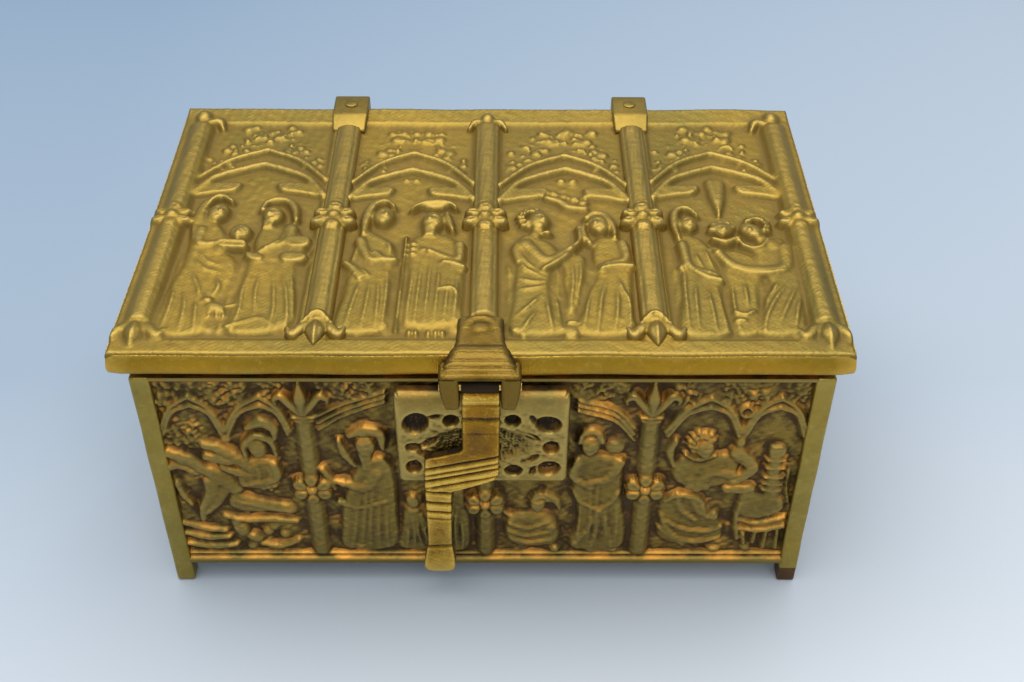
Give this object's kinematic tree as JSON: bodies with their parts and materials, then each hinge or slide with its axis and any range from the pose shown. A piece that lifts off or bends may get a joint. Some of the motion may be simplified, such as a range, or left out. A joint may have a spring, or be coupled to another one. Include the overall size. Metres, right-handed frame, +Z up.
{
  "type": "lidded casket",
  "caption": "Small rectangular cast brass needle casket with relief arches and robed figures, a hinged flat lid, a lock plate and a swinging hasp.",
  "frame": {"origin": "on the ground under the middle of the case, which is the middle of the whole object's box", "axes": "+X to the right along the long front, +Y to the back where the hinges are, +Z up"},
  "size_m": [0.1214, 0.0804, 0.0625],
  "materials": {
    "brass_lid": "aged cast brass, olive yellow, brown in the recesses and bright on worn edges",
    "brass_wall": "aged cast brass, dark brown ground with khaki raised parts and orange glints",
    "brass_frame": "brushed aged brass",
    "brass_lock": "aged brass, pale khaki with dark pits",
    "brass_hasp": "worn raw brass with file marks",
    "brass_hinge": "worn brass",
    "velvet": "worn dark red velvet"
  },
  "bodies": {
    "case": {"bottom_plate": "brass_frame", "front_panel": "brass_wall", "back_panel": "brass_wall", "left_end_panel": "brass_wall", "right_end_panel": "brass_wall", "corner_post_front_left": "brass_frame", "corner_post_front_right": "brass_frame", "corner_post_back_left": "brass_frame", "corner_post_back_right": "brass_frame", "lock_plate": "brass_lock", "hinge_leaf_left": "brass_hinge", "hinge_leaf_right": "brass_hinge", "hinge_leaf_rivets": "brass_hinge", "hinge_pin_left": "brass_hinge", "hinge_pin_right": "brass_hinge", "lining_floor": "velvet", "lining_front": "velvet", "lining_back": "velvet", "lining_left": "velvet", "lining_right": "velvet"},
    "lid": {"lid_plate": "brass_lid", "hinge_strap_left": "brass_lid", "hinge_strap_right": "brass_lid", "hinge_strap_rivets": "brass_lid", "centre_strap": "brass_lid", "lid_lining": "velvet", "hasp_mount": "brass_hasp", "hasp_mount_rivet": "brass_hasp", "hasp_pin": "brass_hasp"},
    "hasp": {"hasp": "brass_hasp"}
  },
  "joints": [
    {"name": "lid_hinge", "type": "hinge", "parent": "case", "child": "lid", "pos_m": [0.0005, 0.0382, 0.0536], "axis": [-1, 0, 0], "range_deg": [0, 100]},
    {"name": "hasp_hinge", "type": "hinge", "parent": "lid", "child": "hasp", "pos_m": [-0.0004, -0.0384, 0.055], "axis": [-1, 0, 0], "range_deg": [0, 110]}
  ]
}
